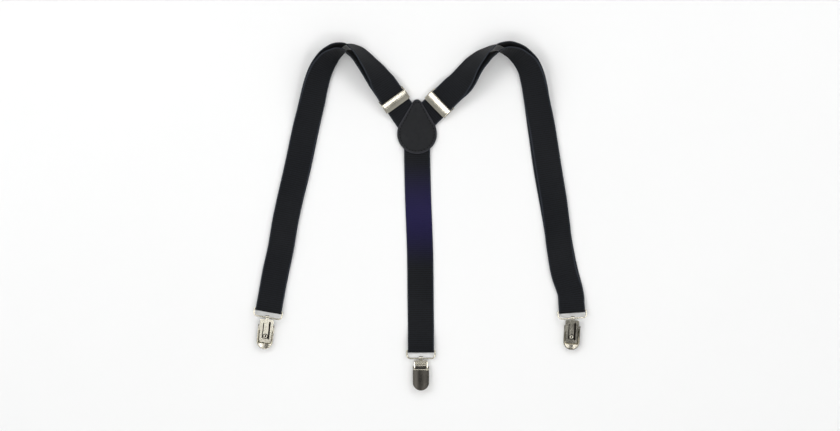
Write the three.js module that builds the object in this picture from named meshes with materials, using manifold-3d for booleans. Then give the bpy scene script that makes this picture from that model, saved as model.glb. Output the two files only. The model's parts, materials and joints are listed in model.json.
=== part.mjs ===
// Y-back suspenders with three clips, laid flat. Millimetres, +Z up, +Y towards the folded front straps.
import * as THREE from "three";
import { mergeVertices } from "three/addons/utils/BufferGeometryUtils.js";
import Module from "manifold-3d";

const wasm = await Module();
wasm.setup();

// Driving dimensions
const gap = 0.3; // between pieces that touch
const play = 0.45; // loose fit of a clip on its bail
const strapWidth = 25;
const webbing = 1.1; // thickness of the elastic webbing
const leather = 1.2; // thickness of each patch piece
const patchRadius = 19;
const patchTipRadius = 4.4;
const patchLength = 52;
const wireRadius = 0.8;
const bailDrop = 7.6; // from the bar in the strap to the run that holds the clip
const sheet = 0.8; // stamped steel
const adjusterLength = 10;
const adjusterTravel = 5;
const tailLength = 7; // sewn webbing beyond the adjuster's bar
const hemLength = 12;
const twistRoom = 0.7; // under the returning layer where the strap twists
const plateWidth = 13;
const plateLength = 22;
const leverLength = 19.5;
const leverCrown = 5; // top of the lever above the bail's wire
const leverBulge = 26; // radius of the lever's crowned back
const pinRadius = 0.6;

// Sizes worked out from them
const halfStrap = strapWidth / 2;
const foldRadius = wireRadius + gap + webbing / 2;
const barHeight = foldRadius + webbing / 2;
const patchLayer = leather + gap + webbing / 2;

const steel = { color: 0xb9b3a2, roughness: 0.28, metalness: 1 };
const elastic = { color: 0x1d1f22, roughness: 0.9, metalness: 0 };
const hide = { color: 0x1a1816, roughness: 0.5, metalness: 0 };
const plastic = { color: 0xd8d6cc, roughness: 0.5, metalness: 0 };

// Turns a closed three.js geometry into a solid that can be joined and cut.
function solidOf(geometry) {
  const bare = geometry.clone();
  bare.deleteAttribute("normal");
  bare.deleteAttribute("uv");
  const merged = mergeVertices(bare, 1e-4);
  return new wasm.Manifold(
    new wasm.Mesh({
      numProp: 3,
      vertProperties: new Float32Array(merged.attributes.position.array),
      triVerts: new Uint32Array(merged.index.array),
    }),
  );
}

// Gives a solid back as a named mesh.
function meshOf(name, solid, finish) {
  const made = solid.getMesh();
  const geometry = new THREE.BufferGeometry();
  geometry.setAttribute("position", new THREE.BufferAttribute(made.vertProperties, 3));
  geometry.setIndex(new THREE.BufferAttribute(made.triVerts, 1));
  geometry.computeVertexNormals();
  const mesh = new THREE.Mesh(geometry, new THREE.MeshStandardMaterial(finish));
  mesh.name = name;
  return mesh;
}

// A box from its lowest corner to its highest.
function box(low, high) {
  const size = high.map((v, i) => v - low[i]);
  const middle = high.map((v, i) => (v + low[i]) / 2);
  return solidOf(new THREE.BoxGeometry(...size).translate(...middle));
}

// A round bar along X, centred on (0, y, z).
function rodAcross(radius, length, y, z, sides = 20) {
  const rod = new THREE.CylinderGeometry(radius, radius, length, sides);
  return solidOf(rod.rotateZ(Math.PI / 2).translate(0, y, z));
}

// A round bar along Z.
function rodUp(radius, low, high, x, y, sides = 24) {
  const rod = new THREE.CylinderGeometry(radius, radius, high - low, sides);
  return solidOf(rod.rotateX(Math.PI / 2).translate(x, y, (low + high) / 2));
}

// A side profile, given as [y, z] points, run across from -halfWidth to halfWidth.
function profileAcross(points, halfWidth) {
  const shape = new THREE.Shape(points.map(([y, z]) => new THREE.Vector2(y, z)));
  const run = new THREE.ExtrudeGeometry(shape, { depth: 2 * halfWidth, bevelEnabled: false });
  run.translate(0, 0, -halfWidth);
  run.applyMatrix4(new THREE.Matrix4().makeBasis(
    new THREE.Vector3(0, 1, 0),
    new THREE.Vector3(0, 0, 1),
    new THREE.Vector3(1, 0, 0),
  ));
  return solidOf(run);
}

// A plan outline pulled up from low to high.
function plate(shape, low, high, curveSegments = 12) {
  const depth = high - low;
  const flat = new THREE.ExtrudeGeometry(shape, { depth, bevelEnabled: false, curveSegments });
  return solidOf(flat.translate(0, 0, low));
}

// A rectangle swept along stations { at, across }: the webbing. side is -1 for the mirrored strap.
function ribbon(line, side = 1) {
  const corners = [[-1, -1], [1, -1], [1, 1], [-1, 1]];
  const positions = [];
  line.forEach(({ at, across }, i) => {
    const before = line[Math.max(i - 1, 0)].at;
    const after = line[Math.min(i + 1, line.length - 1)].at;
    const along = after.clone().sub(before).normalize();
    const up = across.clone().cross(along).normalize().multiplyScalar(side);
    for (const [w, t] of corners) {
      const corner = at.clone().addScaledVector(across, w * halfStrap);
      corner.addScaledVector(up, (t * webbing) / 2);
      positions.push(...corner.toArray());
    }
  });
  const index = [];
  const face = (a, b, c, d) => index.push(a, b, c, a, c, d);
  for (let i = 0; i < line.length - 1; i++) {
    for (let k = 0; k < 4; k++) {
      const next = (k + 1) % 4;
      face(4 * i + k, 4 * i + 4 + k, 4 * i + 4 + next, 4 * i + next);
    }
  }
  const last = 4 * (line.length - 1);
  face(0, 1, 2, 3);
  face(last + 3, last + 2, last + 1, last);
  if (side < 0) index.reverse();
  const geometry = new THREE.BufferGeometry();
  geometry.setAttribute("position", new THREE.Float32BufferAttribute(positions, 3));
  geometry.setIndex(index);
  return solidOf(geometry);
}

// The leather patch: a teardrop, round below and narrow above.
const patchCentre = new THREE.Vector2(-2.6, 78.8);
const patchTop = patchCentre.y + patchLength - patchRadius;
const routeTop = 111.8; // the patch's top for which the front straps' routes were laid out
function teardrop() {
  const tip = patchTop - patchTipRadius;
  const lean = Math.asin((patchRadius - patchTipRadius) / (tip - patchCentre.y));
  const shape = new THREE.Shape();
  shape.absarc(patchCentre.x, patchCentre.y, patchRadius, Math.PI - lean, lean, false);
  shape.absarc(patchCentre.x, tip, patchTipRadius, lean, Math.PI - lean, false);
  shape.closePath();
  return shape;
}

// The adjuster's depths below the webbing that runs through it
const tailTop = -webbing / 2 - gap;
const adjusterBar = tailTop - webbing - gap - sheet / 2;
const tailBottom = adjusterBar - sheet / 2 - gap - webbing;
const adjusterLift = -tailBottom - webbing / 2 + 0.1;

// Each front strap: where its adjuster sits, which way it runs there, and the route beyond it.
// A route row is x, y, tilt (0 outer face up, 90 on edge, 180 face down), inset of the returning layer,
// sideways shift of the returning layer.
const fronts = {
  left: {
    side: 1,
    adjuster: [-23.2, 109.8],
    heading: 125.3,
    tilt: 5,
    pitch: 14,
    route: [
      [-39.7, 134.9, 41, 2.6, 0],
      [-50.4, 149, 56, 3.6, 0],
      [-56.6, 156.2, 65, 4.6, 0],
      [-63.5, 161.2, 76, 6, 0],
      [-71.4, 163.9, 90, 6.6, 0],
      [-81.9, 158.9, 113, 5.2, 0],
      [-89.5, 149.9, 133, 3.6, 0],
      [-95.5, 138, 147, 2.6, 0],
      [-99.6, 124.2, 157, 2.1, 0],
      [-102.9, 108.9, 166, 1.8, 0],
      [-109.1, 81.2, 180, 1.5, 0.4],
      [-116.8, 44.4, 180, 1.5, 0.5],
      [-123.9, 15.8, 180, 1.5, 0],
      [-128.7, -7.2, 180, 1.5, 0],
      [-132.5, -30.1, 180, 1.5, 0],
      [-137.3, -53, 180, 1.5, 0.3],
    ],
    bar: [-144.1, -89.3],
    barAngle: -10,
    clipAngle: -6,
    clipRoll: 6,
  },
  right: {
    side: -1,
    adjuster: [17.4, 106.8],
    heading: 44.5,
    tilt: 0,
    pitch: 12,
    route: [
      [38.9, 129, 30, 2.2, 0],
      [49.3, 144.3, 50, 3.4, 0],
      [56.5, 152, 62, 4.6, 0],
      [65.3, 159, 77, 6, 0],
      [75.5, 163.9, 90, 6.8, 0],
      [87.5, 161.1, 111, 5.6, 0],
      [96.6, 154.2, 128, 4.4, 0],
      [104.6, 142.5, 146, 2.8, 0],
      [108.8, 128.5, 158, 2.2, 0],
      [111.7, 110, 168, 1.8, 0.4],
      [115.9, 81, 180, 1.5, 1.6],
      [121.2, 44.4, 180, 1.5, 2],
      [126.3, 15.8, 180, 1.5, 1.6],
      [130.4, -7.2, 180, 1.5, 0.4],
      [134.1, -30.1, 180, 1.5, -0.6],
      [138.8, -53, 180, 1.5, -1.4],
    ],
    bar: [145.2, -90],
    barAngle: 4,
    clipAngle: -3,
    clipRoll: -9,
  },
};

const radians = (degrees) => (degrees * Math.PI) / 180;

// A direction in the plane, counted in degrees from +X.
const compass = (degrees) => new THREE.Vector3(Math.cos(radians(degrees)), Math.sin(radians(degrees)), 0);

// The width direction and the outer face of webbing that runs along heading at a tilt.
function stance(along, tilt, side) {
  const flat = new THREE.Vector3(along.x, along.y, 0).normalize();
  const outward = flat.clone().cross(new THREE.Vector3(0, 0, 1)).multiplyScalar(side);
  const turn = radians(tilt);
  const across = outward.clone().multiplyScalar(Math.cos(turn));
  across.z = -Math.sin(turn);
  const face = outward.clone().multiplyScalar(Math.sin(turn));
  face.z = Math.cos(turn);
  return { across, face };
}

// The height of the webbing's middle when its lower edge is lift above the ground.
function edgeHeight(tilt, lift) {
  const turn = radians(tilt);
  return halfStrap * Math.abs(Math.sin(turn)) + (webbing / 2) * Math.abs(Math.cos(turn)) + lift;
}

// Where the adjuster's own stretch of strap starts and ends, counted from the adjuster's middle
const stretchStart = -adjusterLength / 2 - 1.5;
const barAt = adjusterLength / 2 + 1.6;
const tailFront = barAt - 1.3 - gap - webbing;
const tailEnd = barAt + tailLength;
const stretchEnd = tailEnd + adjusterTravel + gap;

// Points of a route move with the patch's top: all of the way above 100, less and less down to 0.
const withPatch = (y) => y + (patchTop - routeTop) * Math.min(Math.max(y / 100, 0), 1);

// Where the adjuster sits: the middle of the webbing in it, the way along the strap, across it and out of it.
function adjusterSeat(front) {
  const flat = compass(front.heading);
  const pitch = radians(front.pitch);
  const along = flat.clone().multiplyScalar(Math.cos(pitch)).setZ(Math.sin(pitch));
  const { across } = stance(flat, front.tilt, front.side);
  const face = across.clone().cross(along).normalize().multiplyScalar(front.side);
  const lift = adjusterLift * Math.cos(radians(front.tilt));
  const [x, y] = front.adjuster;
  const middle = new THREE.Vector3(x, withPatch(y), edgeHeight(front.tilt, lift) - tailFront * along.z);
  return { middle, along, across, face };
}

// The strap's way out: from the patch through the adjuster, over the arch and down to the bail's bar.
function wayOut(front) {
  const { middle, along } = adjusterSeat(front);
  const on = (s) => middle.clone().addScaledVector(along, s);
  // A row's Z holds the lift of the webbing's lower edge.
  const row = (at, tilt, inset, shift = 0) => ({ at: at.setZ(at.z - edgeHeight(tilt, 0)), extra: [tilt, inset, shift] });
  const rows = [
    row(on(-28).setZ(patchLayer), 0, 1.5),
    row(on(-18).setZ(patchLayer), 0, 1.5),
    row(on(-11).setZ(patchLayer + 0.1), 0, 1.5),
    row(on(stretchStart), front.tilt, 1.5),
    row(on(0), front.tilt, 1.5),
    row(on(barAt), front.tilt, 1.5),
    row(on(stretchEnd), front.tilt, 1.5),
  ];
  for (const [x, y, tilt, inset, shift] of front.route) {
    const under = Math.max(Math.cos(radians(tilt)), 0) * (inset + twistRoom);
    rows.push(row(new THREE.Vector3(x, withPatch(y), edgeHeight(tilt, under)), tilt, inset, shift));
  }
  const down = compass(front.barAngle - 90);
  const bar = new THREE.Vector3(...front.bar, webbing / 2);
  rows.push(row(bar.clone().addScaledVector(down, -16), 180, 1.5));
  rows.push(row(bar.clone().addScaledVector(down, -7), 180, 2.8));
  rows.push(row(bar.clone(), 180, 2 * foldRadius));
  return rows;
}

// Fills in the rows with smooth curves, and gives both layers of the strap as one line of stations.
function frontStrapLine(front) {
  const perRow = 4;
  const straightRows = 6; // rows up to the end of the adjuster's stretch, where the returning layer starts
  const rows = wayOut(front);
  const middleLine = new THREE.CatmullRomCurve3(rows.map((r) => r.at), false, "centripetal");
  const extras = rows.map((r) => new THREE.Vector3(...r.extra));
  const extraLine = new THREE.CatmullRomCurve3(extras, false, "catmullrom", 0.3);
  const count = (rows.length - 1) * perRow;
  const out = [];
  const back = [];
  for (let i = 0; i <= count; i++) {
    const at = middleLine.getPoint(i / count);
    const along = middleLine.getTangent(i / count);
    const { x: tilt, y: inset, z: shift } = extraLine.getPoint(i / count);
    const { across, face } = stance(along, tilt, front.side);
    at.z = edgeHeight(tilt, at.z);
    out.push({ at, across });
    if (i > straightRows * perRow) {
      const inner = at.clone().addScaledVector(face, -inset).addScaledVector(across, -shift);
      back.unshift({ at: inner, across });
    }
  }
  const bar = new THREE.Vector3(...front.bar, barHeight);
  const fold = foldLine(bar, compass(front.barAngle - 90), out.at(-1).across, -1);
  return [...out.slice(0, -1), ...fold, ...back.slice(1)];
}

// Half a turn round a bail's bar, from below to above where start is -1, or from above to below where it is 1.
function foldLine(bar, down, across, start) {
  const steps = 8;
  const line = [];
  for (let i = 0; i <= steps; i++) {
    const turn = (Math.PI * i) / steps;
    const at = bar.clone().addScaledVector(down, foldRadius * Math.sin(turn));
    at.z += start * foldRadius * Math.cos(turn);
    line.push({ at, across });
  }
  return line;
}

const root = new THREE.Group();

// Patch
root.add(meshOf("patch_back", plate(teardrop(), 0, leather, 40), hide));
const patchFrontLow = patchLayer + webbing / 2 + gap;
root.add(meshOf("patch_front", plate(teardrop(), patchFrontLow, patchFrontLow + leather, 40), hide));

// Front straps, whose ends meet along the patch's middle line above the back strap's end
const backStrapTop = patchCentre.y - 4;
for (const [name, front] of Object.entries(fronts)) {
  const beyond = 60;
  const edge = patchCentre.x + (-front.side * gap) / 2;
  const past = box(
    front.side > 0 ? [edge, 40, -1] : [edge - beyond, 40, -1],
    front.side > 0 ? [edge + beyond, patchTop, 9] : [edge, patchTop, 9],
  );
  const belowEnd = box([patchCentre.x - patchRadius, 40, -1], [patchCentre.x + patchRadius, backStrapTop + gap, 9]);
  const whole = ribbon(frontStrapLine(front), front.side);
  root.add(meshOf(name + "_strap", whole.subtract(past).subtract(belowEnd), elastic));
}

// Back strap
const backBar = [1.1, -127.8];
const overHem = 2 * foldRadius + webbing / 2;
const backRows = [
  [patchCentre.x, backStrapTop, patchLayer],
  [patchCentre.x, 66, patchLayer],
  [patchCentre.x + 0.1, 56, patchLayer - 0.2],
  [-2.2, 42, webbing / 2 + 0.1],
  [-1.6, 18, webbing / 2],
  [-0.6, -8, webbing / 2],
  [0.3, -34, webbing / 2],
  [0.8, -78, webbing / 2],
  [backBar[0], backBar[1] + hemLength + 10, webbing / 2 + 0.1],
  [backBar[0], backBar[1] + hemLength + 4, 1.9],
  [backBar[0], backBar[1] + hemLength - 3, overHem - 0.5],
  [backBar[0], backBar[1], overHem],
];
function backStrapLine() {
  const middleLine = new THREE.CatmullRomCurve3(backRows.map((r) => new THREE.Vector3(...r)), false, "centripetal");
  const count = (backRows.length - 1) * 4;
  const line = [];
  for (let i = 0; i < count; i++) {
    const { across } = stance(middleLine.getTangent(i / count), 0, 1);
    line.push({ at: middleLine.getPoint(i / count), across });
  }
  const across = new THREE.Vector3(-1, 0, 0);
  line.push(...foldLine(new THREE.Vector3(...backBar, barHeight), new THREE.Vector3(0, -1, 0), across, 1));
  line.push({ at: new THREE.Vector3(backBar[0], backBar[1] + hemLength, webbing / 2), across });
  return line;
}
root.add(meshOf("back_strap", ribbon(backStrapLine()), elastic));

// Adjuster, in its own frame: X across the strap, Y up the strap, Z out of its face, origin in the webbing
const railInner = halfStrap + gap + 0.05;
const railOuter = railInner + 0.75;
const coverHinge = { y: adjusterLength / 2 - 1.1, z: webbing / 2 + gap + 1.25 };
function adjusterFrame() {
  const railEnd = barAt + 1.6;
  const railLow = adjusterBar - sheet / 2;
  const rail = [
    [-adjusterLength / 2 + 0.3, -webbing / 2 - gap - sheet],
    [barAt - 3.2, railLow],
    [railEnd, railLow],
    [railEnd, adjusterBar + sheet],
    [coverHinge.y + 1.3, coverHinge.z + 0.4],
    [coverHinge.y, coverHinge.z + 1.2],
    [coverHinge.y - 1.3, coverHinge.z + 0.4],
    [-adjusterLength / 2 + 0.3, webbing / 2 + 0.2],
  ];
  const walls = profileAcross(rail, railOuter).subtract(profileAcross(
    [[-20, -20], [20, -20], [20, 20], [-20, 20]],
    railInner,
  ));
  const anvil = box(
    [-railOuter, -adjusterLength / 2 + 0.3, -webbing / 2 - gap - sheet],
    [railOuter, -0.6, -webbing / 2 - gap],
  );
  const bar = box([-railOuter, barAt - 1.3, railLow], [railOuter, barAt + 1.3, adjusterBar + sheet / 2]);
  return walls.add(anvil).add(bar).subtract(rodAcross(pinRadius + 0.2, 60, coverHinge.y, coverHinge.z, 16));
}
function adjusterCover() {
  const half = railInner - 0.25;
  const ridge = coverHinge.z + 1.15;
  const ridgeAt = -0.2;
  const skin = [
    [-adjusterLength / 2, webbing / 2 + gap + 0.1],
    [-adjusterLength / 2 + 0.9, webbing / 2 + gap + 0.1],
    [ridgeAt, ridge - 0.75],
    [coverHinge.y, ridge - 0.75],
    [coverHinge.y + 1.2, coverHinge.z],
    [coverHinge.y + 1.2, ridge - 0.7],
    [coverHinge.y + 0.6, ridge],
    [ridgeAt, ridge],
    [-adjusterLength / 2, webbing / 2 + gap + 0.9],
  ];
  const barrel = rodAcross(1.2, 2 * half, coverHinge.y, coverHinge.z);
  const cheek = profileAcross([
    [-adjusterLength / 2 + 0.5, webbing / 2 + gap + 0.1],
    [coverHinge.y, webbing / 2 + gap + 0.1],
    [coverHinge.y, ridge - 0.2],
    [ridgeAt, ridge - 0.2],
  ], half).subtract(box([-half + 0.7, -20, -20], [half - 0.7, 20, 20]));
  const body = profileAcross(skin, half).add(barrel).add(cheek);
  return body.subtract(rodAcross(pinRadius + 0.2, 60, coverHinge.y, coverHinge.z, 16));
}
function strapTail() {
  const mid = adjusterBar;
  const reach = sheet / 2 + gap;
  const inner = tailFront + webbing;
  return profileAcross([
    [tailEnd, tailTop],
    [tailFront + 0.8, tailTop],
    [tailFront, tailTop - 0.8],
    [tailFront, tailBottom + 0.8],
    [tailFront + 0.8, tailBottom],
    [tailEnd, tailBottom],
    [tailEnd, tailBottom + webbing],
    [inner, mid - reach],
    [inner, mid + reach],
    [tailEnd, tailTop - webbing],
  ], halfStrap);
}
for (const [name, front] of Object.entries(fronts)) {
  const { middle, along, across, face } = adjusterSeat(front);
  const place = new THREE.Matrix4().makeBasis(across.multiplyScalar(front.side), along, face);
  place.setPosition(middle);
  const adjuster = new THREE.Group();
  adjuster.applyMatrix4(place);
  adjuster.add(meshOf(name + "_adjuster_frame", adjusterFrame(), steel));
  adjuster.add(meshOf(name + "_adjuster_cover", adjusterCover(), steel));
  const pin = rodAcross(pinRadius, 2 * railOuter + 0.4, coverHinge.y, coverHinge.z, 16);
  adjuster.add(meshOf(name + "_adjuster_pin", pin, steel));
  adjuster.add(meshOf(name + "_strap_tail", strapTail(), elastic));
  root.add(adjuster);
}

// Bail, in its own frame: its bar lies along X at the origin, and the run that holds the clip at -Y
const bailHalf = halfStrap + wireRadius + 0.1;
function bail() {
  const corner = (x, y, radius, from) => Array.from({ length: 6 }, (_, i) => {
    const turn = radians(from + (90 * i) / 5);
    return new THREE.Vector3(x + radius * Math.cos(turn), y + radius * Math.sin(turn), 0);
  });
  const tight = 1.5 * wireRadius;
  const wide = 3.4;
  const loop = [
    ...corner(bailHalf - tight, -tight, tight, 0),
    ...corner(-bailHalf + tight, -tight, tight, 90),
    ...corner(-bailHalf + wide, -bailDrop + wide, wide, 180),
    ...corner(bailHalf - wide, -bailDrop + wide, wide, 270),
  ];
  const sides = 10;
  const positions = [];
  const index = [];
  loop.forEach((at, i) => {
    const before = loop.at(i - 1);
    const after = loop[(i + 1) % loop.length];
    const along = after.clone().sub(before).normalize();
    const out = new THREE.Vector3(along.y, -along.x, 0);
    for (let k = 0; k < sides; k++) {
      const turn = (2 * Math.PI * k) / sides;
      const rim = at.clone().addScaledVector(out, wireRadius * Math.cos(turn));
      rim.z += wireRadius * Math.sin(turn);
      positions.push(...rim.toArray());
      const a = i * sides + k;
      const b = i * sides + ((k + 1) % sides);
      const c = ((i + 1) % loop.length) * sides + ((k + 1) % sides);
      const d = ((i + 1) % loop.length) * sides + k;
      index.push(a, c, b, a, d, c);
    }
  });
  const geometry = new THREE.BufferGeometry();
  geometry.setAttribute("position", new THREE.Float32BufferAttribute(positions, 3));
  geometry.setIndex(index);
  return solidOf(geometry);
}

// Clip, in its own frame: the bail's wire runs along X through the origin, the clip hangs to -Y, lever to +Z
const knuckleRadius = wireRadius + play + sheet;
const plateBack = -knuckleRadius + 0.45;
const plateFront = plateBack + sheet;
const plateTop = -knuckleRadius + 0.15;
const plateEnd = plateTop - plateLength;
const pivot = { y: plateTop - 6.7, z: plateFront + 3.2 };
const jawHinge = { y: pivot.y + 3.7, z: plateFront + 1.1 };
const earInner = plateWidth / 2 - sheet;
const leverHalf = plateWidth / 2 + gap + 0.1 + sheet;
const leverTop = pivot.y - 2.2;
const leverEnd = leverTop - leverLength;
const rivet = { y: plateTop - 16, radius: 1.25, flange: 2.2 };

function backPlate() {
  const half = plateWidth / 2;
  const narrow = half - 0.75;
  const shape = new THREE.Shape();
  shape.moveTo(-half + 1.5, plateTop);
  shape.lineTo(half - 1.5, plateTop);
  shape.quadraticCurveTo(half, plateTop, half, plateTop - 1.5);
  shape.lineTo(half, pivot.y - 3);
  shape.lineTo(narrow, pivot.y - 4.5);
  shape.lineTo(narrow, plateEnd + 3);
  shape.quadraticCurveTo(narrow, plateEnd, narrow - 3, plateEnd);
  shape.lineTo(-narrow + 3, plateEnd);
  shape.quadraticCurveTo(-narrow, plateEnd, -narrow, plateEnd + 3);
  shape.lineTo(-narrow, pivot.y - 4.5);
  shape.lineTo(-half, pivot.y - 3);
  shape.lineTo(-half, plateTop - 1.5);
  shape.quadraticCurveTo(-half, plateTop, -half + 1.5, plateTop);
  const ears = profileAcross([
    [jawHinge.y + 1.5, plateFront - 0.2],
    [pivot.y - 2.3, plateFront - 0.2],
    [pivot.y - 1.6, pivot.z + 1],
    [pivot.y, pivot.z + 1.7],
    [pivot.y + 1.6, pivot.z + 1],
    [jawHinge.y + 1.5, jawHinge.z + 1.2],
  ], half).subtract(box([-earInner, -60, -20], [earInner, 60, 20]));
  const knuckle = rodAcross(knuckleRadius, 3.6, 0, 0, 24);
  const tongueLow = -knuckleRadius + 0.07;
  const tongue = box([-1.75, plateTop - 0.6, tongueLow], [1.75, -0.1, tongueLow + sheet]);
  const rib = new THREE.Shape();
  rib.absarc(0, plateTop - 4.2, 3.2, 0, Math.PI, false);
  rib.absarc(0, plateEnd + 4.2, 3.2, Math.PI, 2 * Math.PI, false);
  return plate(shape, plateBack, plateFront, 6)
    .add(ears)
    .add(knuckle)
    .add(tongue)
    .add(plate(rib, -knuckleRadius, plateBack + 0.2))
    .subtract(rodAcross(wireRadius + play, 20, 0, 0, 24))
    .subtract(rodAcross(pinRadius + gap, 40, pivot.y, pivot.z, 16))
    .subtract(rodAcross(0.6 + gap, 40, jawHinge.y, jawHinge.z, 16))
    .subtract(rodUp(rivet.flange + gap, -20, plateBack, 0, rivet.y))
    .subtract(rodUp(rivet.radius + gap, -20, 20, 0, rivet.y));
}
const padTop = plateFront + gap + 0.85;
function gripPad() {
  const half = plateWidth / 2 - 1.9;
  return box([-half, plateEnd + 1, plateFront + gap], [half, rivet.y + 3.4, padTop])
    .subtract(rodUp(rivet.radius + gap, -20, 20, 0, rivet.y))
    .subtract(rodUp(rivet.flange + gap, plateFront + gap + 0.3, 20, 0, rivet.y));
}
function rivetRing() {
  const hole = rivet.radius - 0.5;
  const low = plateBack - gap - 0.35;
  const high = padTop - 0.1;
  const points = [
    [hole, low],
    [rivet.flange, low],
    [rivet.flange, low + 0.35],
    [rivet.radius, low + 0.35],
    [rivet.radius, high - 0.3],
    [rivet.flange, high - 0.3],
    [rivet.flange, high],
    [hole, high],
    [hole, low],
  ];
  const ring = new THREE.LatheGeometry(points.map(([r, z]) => new THREE.Vector2(r, z)), 24);
  return solidOf(ring.rotateX(Math.PI / 2).translate(0, rivet.y, 0));
}
const jawThick = 0.6;
function frontJaw() {
  const low = jawHinge.z - 0.6;
  const high = padTop + gap + 0.9;
  const tip = plateEnd - 1.2;
  const profile = [
    [jawHinge.y + 0.6, low],
    [jawHinge.y + 0.6, low + jawThick],
    [pivot.y - 2.4, low + jawThick],
    [pivot.y - 5.2, high + jawThick],
    [tip, high + jawThick],
    [tip, padTop + gap],
    [tip + 0.7, high],
    [tip + 1.4, padTop + gap],
    [tip + 2.1, high],
    [tip + 2.8, padTop + gap],
    [tip + 3.5, high],
    [pivot.y - 5, high],
    [pivot.y - 2.2, low],
  ];
  const trunnion = rodAcross(0.6, 2 * (plateWidth / 2 - 0.1), jawHinge.y, jawHinge.z, 16);
  return profileAcross(profile, earInner - gap - 0.1).add(trunnion);
}
function lever() {
  const half = leverHalf;
  const outline = (inset, top) => {
    const radius = half - inset;
    const shape = new THREE.Shape();
    shape.moveTo(-radius, top);
    shape.lineTo(radius, top);
    shape.absarc(0, leverEnd + half, radius, 0, -Math.PI, true);
    shape.closePath();
    return shape;
  };
  const skirtLow = leverCrown - 4.2;
  const crown = (radius) => {
    const barrel = new THREE.CylinderGeometry(radius, radius, 80, 120);
    return solidOf(barrel.translate(0, 0, leverCrown - leverBulge));
  };
  const crowned = plate(outline(0, leverTop), skirtLow, leverCrown, 24)
    .intersect(crown(leverBulge))
    .subtract(plate(outline(sheet, leverTop + 5), skirtLow - 2, leverCrown, 24).intersect(crown(leverBulge - sheet)));
  const cheeks = profileAcross([
    [leverTop - 2, leverCrown - sheet - 1],
    [leverTop - 2, skirtLow],
    [pivot.y - 1.5, pivot.z - 1.6],
    [pivot.y + 1.5, pivot.z - 1.2],
    [pivot.y + 1.7, pivot.z + 1],
    [leverTop, leverCrown - sheet - 0.4],
  ], half).subtract(box([-half + sheet, -60, -20], [half - sheet, 60, 20]));
  const cam = rodAcross(1.7, 2 * (earInner - gap), pivot.y, pivot.z)
    .subtract(box([-20, pivot.y + 1.25, -20], [20, pivot.y + 5, 20]));
  const web = profileAcross([
    [pivot.y - 0.8, pivot.z + 1.2],
    [pivot.y - 1.4, pivot.z + 0.2],
    [leverTop - 1, leverCrown - sheet - 0.6],
    [leverTop - 1, leverCrown - 0.5],
    [leverTop, leverCrown - 0.5],
  ], earInner - gap);
  return crowned
    .add(cheeks)
    .add(cam)
    .add(web)
    .subtract(rodAcross(pinRadius + gap, 60, pivot.y, pivot.z, 16));
}
const clipPin = () => rodAcross(pinRadius, 2 * leverHalf + 0.4, pivot.y, pivot.z, 16);

// Hangs a bail and a clip on a strap's fold. A clip with its face down rests on its lever.
function hangClip(name, bar, barAngle, clipAngle, faceDown, roll) {
  const clip = new THREE.Group();
  clip.add(meshOf(name + "_clip_plate", backPlate(), steel));
  clip.add(meshOf(name + "_clip_jaw", frontJaw(), steel));
  clip.add(meshOf(name + "_clip_lever", lever(), steel));
  clip.add(meshOf(name + "_clip_pin", clipPin(), steel));
  clip.add(meshOf(name + "_clip_pad", gripPad(), plastic));
  clip.add(meshOf(name + "_clip_rivet", rivetRing(), steel));
  const over = radians((faceDown ? 180 : 0) + roll);
  const turned = new THREE.Matrix4().makeRotationZ(radians(clipAngle));
  turned.multiply(new THREE.Matrix4().makeRotationY(over));
  clip.applyMatrix4(turned);
  const wireHeight = -new THREE.Box3().setFromObject(clip, true).min.z;
  const rise = Math.asin((wireHeight - barHeight) / bailDrop);
  const wire = compass(barAngle - 90).multiplyScalar(bailDrop * Math.cos(rise));
  clip.position.set(bar[0] + wire.x, bar[1] + wire.y, wireHeight);
  const ring = meshOf(name + "_bail", bail(), steel);
  ring.applyMatrix4(new THREE.Matrix4().makeRotationX(-rise));
  ring.applyMatrix4(new THREE.Matrix4().makeRotationZ(radians(barAngle)));
  ring.position.set(...bar, barHeight);
  root.add(clip, ring);
}
for (const [name, front] of Object.entries(fronts)) {
  hangClip(name, front.bar, front.barAngle, front.clipAngle, true, front.clipRoll);
}
hangClip("back", backBar, 0, 0, false, 0);

// The part's origin is the middle of its underside.
const extent = new THREE.Box3().setFromObject(root, true);
root.position.set(
  -(extent.min.x + extent.max.x) / 2,
  -(extent.min.y + extent.max.y) / 2,
  -extent.min.z,
);

export default root;
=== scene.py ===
import json
import math

import bmesh
import bpy
import numpy as np
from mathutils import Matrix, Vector


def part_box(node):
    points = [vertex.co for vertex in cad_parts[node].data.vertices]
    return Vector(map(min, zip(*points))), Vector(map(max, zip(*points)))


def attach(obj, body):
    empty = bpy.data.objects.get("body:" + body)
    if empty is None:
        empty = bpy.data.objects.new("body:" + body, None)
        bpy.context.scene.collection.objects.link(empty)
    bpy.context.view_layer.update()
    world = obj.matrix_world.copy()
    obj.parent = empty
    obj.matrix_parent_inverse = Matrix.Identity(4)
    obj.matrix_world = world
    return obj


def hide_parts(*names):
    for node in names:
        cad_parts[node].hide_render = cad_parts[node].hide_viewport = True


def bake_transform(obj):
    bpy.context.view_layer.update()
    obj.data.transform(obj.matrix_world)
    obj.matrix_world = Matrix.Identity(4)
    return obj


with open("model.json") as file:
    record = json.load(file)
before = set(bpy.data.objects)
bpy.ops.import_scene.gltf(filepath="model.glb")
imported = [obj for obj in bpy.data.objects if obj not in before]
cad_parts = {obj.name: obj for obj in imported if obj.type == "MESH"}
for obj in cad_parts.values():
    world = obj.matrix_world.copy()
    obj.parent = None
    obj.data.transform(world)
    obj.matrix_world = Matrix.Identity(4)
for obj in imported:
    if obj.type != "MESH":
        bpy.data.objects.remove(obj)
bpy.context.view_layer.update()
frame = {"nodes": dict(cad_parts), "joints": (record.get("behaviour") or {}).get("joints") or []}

mm = 0.001
joints = {joint["name"]: joint for joint in frame["joints"]}
up = np.array([0.0, 0.0, 1.0])


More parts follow.
